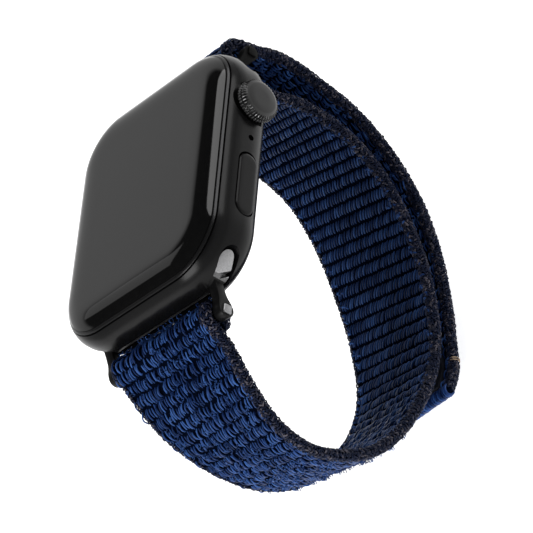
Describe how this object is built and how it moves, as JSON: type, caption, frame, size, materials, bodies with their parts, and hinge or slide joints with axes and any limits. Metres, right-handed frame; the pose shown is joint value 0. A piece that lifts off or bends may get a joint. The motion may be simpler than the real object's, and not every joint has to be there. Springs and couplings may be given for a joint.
{
  "type": "fitness tracker watch with woven band",
  "caption": "Rounded square wrist tracker with a turning crown, a side button and a woven hook-and-loop band on slide-in connectors.",
  "frame": {"origin": "centre of the back sensor crystal's wrist face", "axes": "+Z out of the display, +Y towards twelve o'clock, +X towards the crown"},
  "size_m": [0.0399, 0.0709, 0.06],
  "materials": {
    "case_metal": "satin black anodised",
    "bezel_metal": "polished black",
    "connector_metal": "satin black anodised",
    "cover_glass": "polished, dark display behind",
    "back_glass": "polished black ceramic glass",
    "display": "black",
    "steel": "fine turned",
    "copper": "drawn copper",
    "board": "solder mask",
    "foil": "wrapped cell",
    "plastic": "moulded",
    "rubber": "matte",
    "woven_navy": "ribbed loop weave, charcoal edges",
    "hook_tape": "fine moulded hooks"
  },
  "bodies": {
    "case": {"case_body": "case_metal", "bezel_ring": "bezel_metal", "crystal": "cover_glass", "display_panel": "display", "display_seal": "rubber", "back_cover": "back_glass", "sensor_crystal": "back_glass", "sensor_board": "board", "led_cluster": "steel", "photodiode_ring": "plastic", "charging_coil": "copper", "battery": "foil", "logic_board": "board", "processor_package": "plastic", "display_flex": "copper", "haptic_motor": "steel", "speaker": "plastic", "microphone": "steel", "crown_collar": "steel", "crown_seal": "rubber", "encoder_sensor": "plastic", "crown_switch": "steel", "crown_bracket": "steel", "side_button_switch": "steel", "side_button_bracket": "steel", "lower_release_spring": "steel", "upper_release_spring": "steel"},
    "crown_slider": {"crown_sleeve": "steel"},
    "crown": {"crown_knob": "case_metal", "crown_shaft": "steel", "encoder_disc": "steel"},
    "side_button": {"side_button_cap": "case_metal", "side_button_plunger": "steel"},
    "lower_release": {"lower_release_button": "connector_metal"},
    "upper_release": {"upper_release_button": "connector_metal"},
    "lower_band": {"lower_connector": "connector_metal", "lower_bar": "connector_metal", "lower_bar_screw_a": "steel", "lower_bar_screw_b": "steel", "lower_latch_spring": "steel", "strap_loop": "woven_navy"},
    "lower_latch": {"lower_latch": "steel"},
    "upper_band": {"upper_connector": "connector_metal", "upper_bar": "connector_metal", "upper_bar_screw_a": "steel", "upper_bar_screw_b": "steel", "upper_latch_spring": "steel"},
    "upper_latch": {"upper_latch": "steel"},
    "tail": {"strap_tail": "woven_navy", "hook_patch": "hook_tape", "tail_binding": "woven_navy"}
  },
  "joints": [
    {"name": "crown_press", "type": "slide", "parent": "case", "child": "crown_slider", "axis": [-1, 0, 0], "range_m": [0, 0.0004], "stiffness_N_per_m": 5000},
    {"name": "crown_turn", "type": "hinge", "parent": "crown_slider", "child": "crown", "pos_m": [0.02, 0.0097, 0.0053], "axis": [1, 0, 0], "continuous": true},
    {"name": "side_button_press", "type": "slide", "parent": "case", "child": "side_button", "axis": [-1, 0, 0], "range_m": [0, 0.0003], "stiffness_N_per_m": 6000},
    {"name": "lower_connector_slide", "type": "slide", "parent": "case", "child": "lower_band", "axis": [1, 0, 0], "range_m": [-0.034, 0.034]},
    {"name": "upper_connector_slide", "type": "slide", "parent": "case", "child": "upper_band", "axis": [1, 0, 0], "range_m": [-0.034, 0.034]},
    {"name": "lower_release_press", "type": "slide", "parent": "case", "child": "lower_release", "axis": [0, 0, 1], "range_m": [0, 0.0005], "stiffness_N_per_m": 3000, "deforming": ["lower_release_spring"]},
    {"name": "lower_latch_lift", "type": "slide", "parent": "lower_band", "child": "lower_latch", "axis": [0, 0, 1], "range_m": [0, 0.00025], "stiffness_N_per_m": 200, "deforming": ["lower_latch_spring"]},
    {"name": "upper_release_press", "type": "slide", "parent": "case", "child": "upper_release", "axis": [0, 0, 1], "range_m": [0, 0.0005], "stiffness_N_per_m": 3000, "deforming": ["upper_release_spring"]},
    {"name": "upper_latch_lift", "type": "slide", "parent": "upper_band", "child": "upper_latch", "axis": [0, 0, 1], "range_m": [0, 0.00025], "stiffness_N_per_m": 200, "deforming": ["upper_latch_spring"]},
    {"name": "tail_peel", "type": "hinge", "parent": "lower_band", "child": "tail", "pos_m": [0, 0.0247, 0.0026], "axis": [1, 0, 0], "range_deg": [0, 60]}
  ],
  "couplings": [
    {"joint": "upper_connector_slide", "follows": "lower_connector_slide", "ratio": 1},
    {"joint": "lower_latch_lift", "follows": "lower_release_press", "ratio": 0.5},
    {"joint": "upper_latch_lift", "follows": "upper_release_press", "ratio": 0.5}
  ]
}
